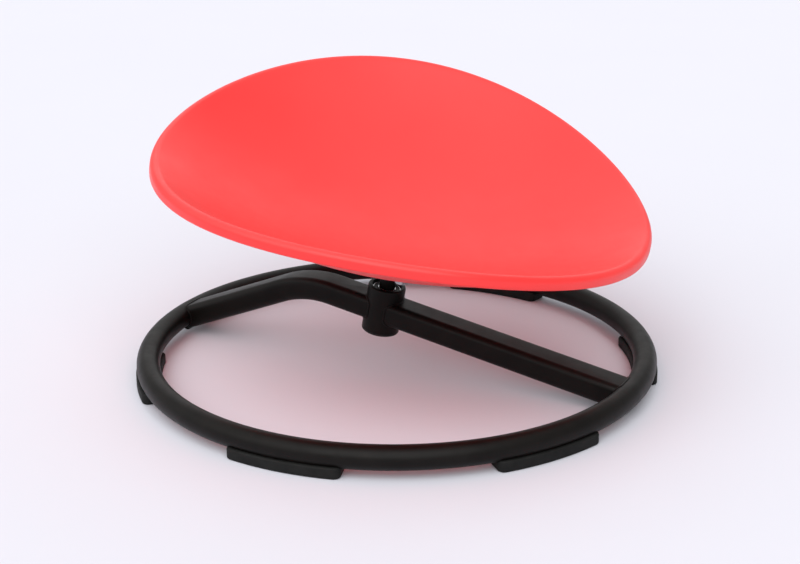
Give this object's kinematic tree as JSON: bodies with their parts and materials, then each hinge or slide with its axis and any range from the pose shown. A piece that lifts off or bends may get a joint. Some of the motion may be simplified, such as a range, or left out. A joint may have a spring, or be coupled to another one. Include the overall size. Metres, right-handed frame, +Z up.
{
  "type": "spinning dish seat",
  "caption": "Dish-shaped seat that spins on a leaning bearing hub, carried by a cross arm on a round tubular floor hoop with rubber feet.",
  "frame": {"origin": "on the floor at the centre of the hoop, under the feet's undersides", "axes": "+Z up; -Y is the front and +Y the back, where the seat's rim is highest; +X is the side that the seat leans down to"},
  "size_m": [0.562, 0.56, 0.2929],
  "materials": {
    "frame_paint": "satin black powder coat",
    "foot_rubber": "matte black",
    "seat_plastic": "satin, moulded red",
    "black_plastic": "matte black",
    "bearing_steel": "ground steel",
    "seal_rubber": "smooth black",
    "zinc_steel": "bright zinc plate"
  },
  "bodies": {
    "base": {"base_ring": "frame_paint", "bent_arm": "frame_paint", "straight_arm": "frame_paint", "bearing_hub": "frame_paint", "hub_end_cap": "black_plastic", "foot_1": "foot_rubber", "foot_2": "foot_rubber", "foot_3": "foot_rubber", "foot_4": "foot_rubber", "foot_5": "foot_rubber", "foot_6": "foot_rubber", "foot_screw_1": "zinc_steel", "foot_screw_2": "zinc_steel", "foot_screw_3": "zinc_steel", "foot_screw_4": "zinc_steel", "foot_screw_5": "zinc_steel", "foot_screw_6": "zinc_steel", "upper_outer_race": "bearing_steel", "upper_seal_top": "seal_rubber", "upper_seal_bottom": "seal_rubber", "lower_outer_race": "bearing_steel", "lower_seal_top": "seal_rubber", "lower_seal_bottom": "seal_rubber"},
    "ball_cages": {"upper_ball_cage": "bearing_steel", "lower_ball_cage": "bearing_steel"},
    "seat": {"seat_shell": "seat_plastic", "seat_plate": "frame_paint", "spindle": "frame_paint", "upper_inner_race": "bearing_steel", "lower_inner_race": "bearing_steel", "race_spacer": "zinc_steel", "spindle_washer": "zinc_steel", "spindle_lock_nut": "zinc_steel", "seat_bolt_1": "zinc_steel", "seat_bolt_2": "zinc_steel", "seat_bolt_3": "zinc_steel", "seat_bolt_4": "zinc_steel", "seat_washer_1": "zinc_steel", "seat_washer_2": "zinc_steel", "seat_washer_3": "zinc_steel", "seat_washer_4": "zinc_steel"}
  },
  "joints": [
    {"name": "seat_spin", "type": "hinge", "parent": "base", "child": "seat", "pos_m": [-0.01391, 0.00706, 0.06667], "axis": [0.1565, -0.0794, 0.9845], "continuous": true},
    {"name": "cage_roll", "type": "hinge", "parent": "base", "child": "ball_cages", "pos_m": [-0.01391, 0.00706, 0.06667], "axis": [0.1565, -0.0794, 0.9845], "continuous": true}
  ],
  "couplings": [
    {"joint": "cage_roll", "follows": "seat_spin", "ratio": 0.406}
  ]
}
